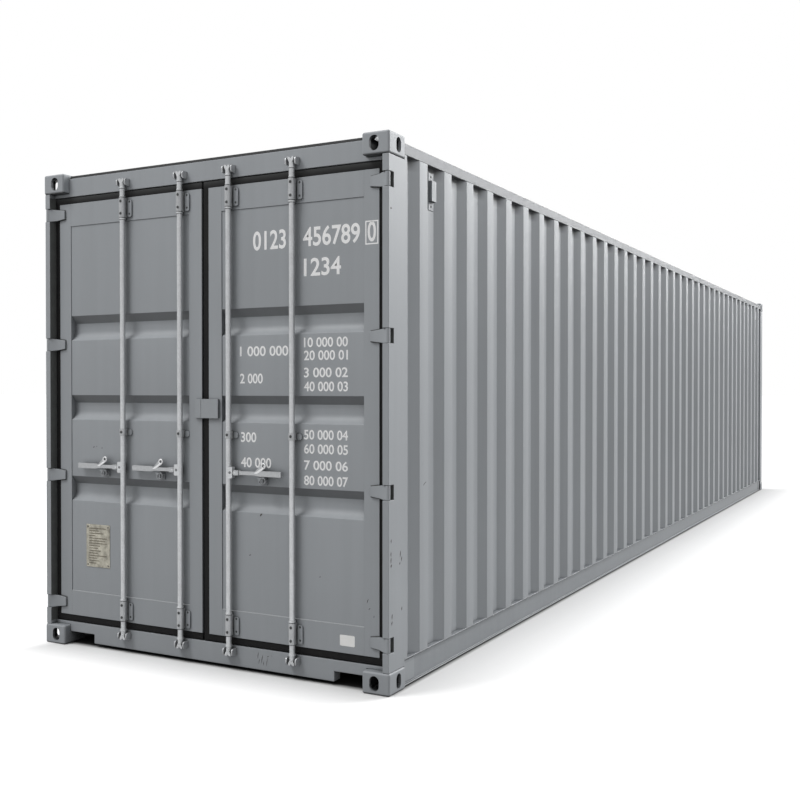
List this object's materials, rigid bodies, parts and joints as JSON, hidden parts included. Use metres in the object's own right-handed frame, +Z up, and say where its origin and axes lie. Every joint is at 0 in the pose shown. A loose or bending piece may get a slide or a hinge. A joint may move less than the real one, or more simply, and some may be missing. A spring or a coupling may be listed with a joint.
{
  "type": "shipping container",
  "caption": "Corrugated steel freight container, high-cube, with hinged double doors, turning locking bars, lifting handles, plywood floor and hollow corner castings.",
  "frame": {"origin": "bottom centre, on the plane the corner castings stand on", "axes": "+Z up, doors facing -Y, length along Y, +X to the right of someone facing the doors"},
  "size_m": [2.438, 12.192, 2.896],
  "materials": {
    "frame_paint": "satin grey paint",
    "wall_paint": "satin grey paint",
    "door_paint": "satin grey paint",
    "gear_steel": "galvanised",
    "gasket_rubber": "matt black",
    "floor_ply": "sealed plywood",
    "underframe_coat": "black underseal",
    "plate_brass": "dull"
  },
  "bodies": {
    "container_frame": {"bottom_corner_castings": "frame_paint", "bottom_side_rail_left": "frame_paint", "bottom_side_rail_right": "frame_paint", "cam_keepers": "gear_steel", "cross_members": "underframe_coat", "door_header": "frame_paint", "door_sill": "frame_paint", "floor": "floor_ply", "front_posts": "frame_paint", "front_sill": "frame_paint", "front_top_rail": "frame_paint", "front_wall": "wall_paint", "hinge_pins": "gear_steel", "rear_post_left": "frame_paint", "rear_post_right": "frame_paint", "roof": "wall_paint", "side_vents": "frame_paint", "side_wall_left": "wall_paint", "side_wall_right": "wall_paint", "top_corner_castings": "frame_paint", "top_side_rail_left": "frame_paint", "top_side_rail_right": "frame_paint"},
    "left_door": {"left_leaf_bar_brackets": "gear_steel", "left_leaf_data_plate": "plate_brass", "left_leaf_gasket": "gasket_rubber", "left_leaf_handle_retainers": "gear_steel", "left_leaf_hinge_blades": "door_paint", "left_leaf_panel": "door_paint", "left_leaf_rails": "door_paint", "left_leaf_stiles": "door_paint"},
    "right_door": {"right_leaf_bar_brackets": "gear_steel", "right_leaf_gasket": "gasket_rubber", "right_leaf_handle_retainers": "gear_steel", "right_leaf_hinge_blades": "door_paint", "right_leaf_panel": "door_paint", "right_leaf_rails": "door_paint", "right_leaf_seal_plate": "door_paint", "right_leaf_stiles": "door_paint"},
    "handle_1": {"bar_handle_1": "gear_steel"},
    "handle_2": {"bar_handle_2": "gear_steel"},
    "handle_3": {"bar_handle_3": "gear_steel"},
    "bar_1": {"locking_bar_1": "gear_steel"},
    "bar_2": {"locking_bar_2": "gear_steel"},
    "bar_3": {"locking_bar_3": "gear_steel"},
    "bar_4": {"locking_bar_4": "gear_steel"}
  },
  "joints": [
    {"name": "left_door_swing", "type": "hinge", "parent": "container_frame", "child": "left_door", "pos_m": [-1.201, -6.078, 1.448], "axis": [0, 0, -1], "range_deg": [0, 260]},
    {"name": "right_door_swing", "type": "hinge", "parent": "container_frame", "child": "right_door", "pos_m": [1.201, -6.078, 1.448], "axis": [0, 0, 1], "range_deg": [0, 260]},
    {"name": "bar_1_turn", "type": "hinge", "parent": "left_door", "child": "bar_1", "pos_m": [-0.598, -6.073, 1.455], "axis": [0, 0, -1], "range_deg": [-100, 0]},
    {"name": "bar_2_turn", "type": "hinge", "parent": "left_door", "child": "bar_2", "pos_m": [-0.164, -6.073, 1.455], "axis": [0, 0, -1], "range_deg": [-100, 0]},
    {"name": "bar_3_turn", "type": "hinge", "parent": "right_door", "child": "bar_3", "pos_m": [0.183, -6.073, 1.455], "axis": [0, 0, 1], "range_deg": [-100, 0]},
    {"name": "bar_4_turn", "type": "hinge", "parent": "right_door", "child": "bar_4", "pos_m": [0.609, -6.073, 1.455], "axis": [0, 0, 1], "range_deg": [-100, 0]},
    {"name": "handle_1_lift", "type": "hinge", "parent": "bar_1", "child": "handle_1", "pos_m": [-0.648, -6.073, 1.11], "axis": [0, -1, 0], "range_deg": [-30, 0]},
    {"name": "handle_2_lift", "type": "hinge", "parent": "bar_2", "child": "handle_2", "pos_m": [-0.214, -6.073, 1.11], "axis": [0, -1, 0], "range_deg": [-30, 0]},
    {"name": "handle_3_lift", "type": "hinge", "parent": "bar_3", "child": "handle_3", "pos_m": [0.233, -6.073, 1.11], "axis": [0, 1, 0], "range_deg": [-30, 0]}
  ]
}
